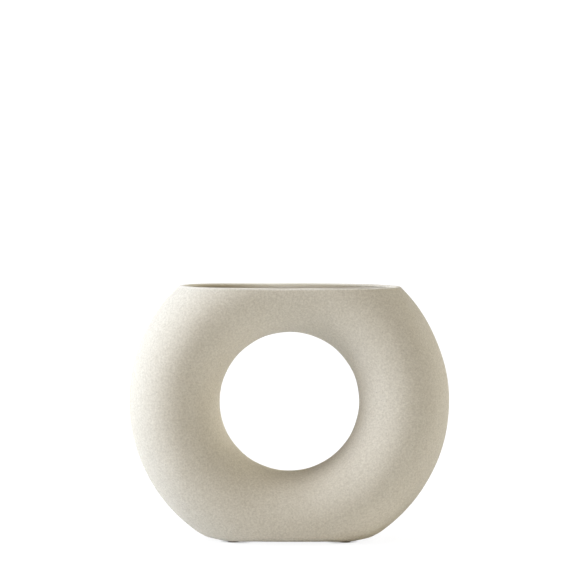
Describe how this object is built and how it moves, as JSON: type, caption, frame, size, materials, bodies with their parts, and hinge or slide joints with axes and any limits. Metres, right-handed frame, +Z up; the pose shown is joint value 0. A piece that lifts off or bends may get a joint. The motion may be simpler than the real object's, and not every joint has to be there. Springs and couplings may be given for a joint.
{
  "type": "donut vase",
  "caption": "Ring-shaped stoneware vase that stands on edge on a flat cut base, with a hollow ring chamber for water and a long oval mouth cut level across its top.",
  "frame": {"origin": "middle of the standing surface, on the table, at the underside of the pads", "axes": "+X along the ring's width, to the right in the picture; +Y through the hole, away from the viewer; +Z up"},
  "size_m": [0.23, 0.065, 0.183],
  "materials": {
    "stoneware": "matt, fine sandy speckle",
    "inside_glaze": "satin",
    "felt": "matt felt"
  },
  "bodies": {
    "root": {"stoneware_body": "stoneware", "glaze_lining": "inside_glaze", "base_pad_front_left": "felt", "base_pad_front_right": "felt", "base_pad_back_left": "felt", "base_pad_back_right": "felt"}
  },
  "joints": []
}
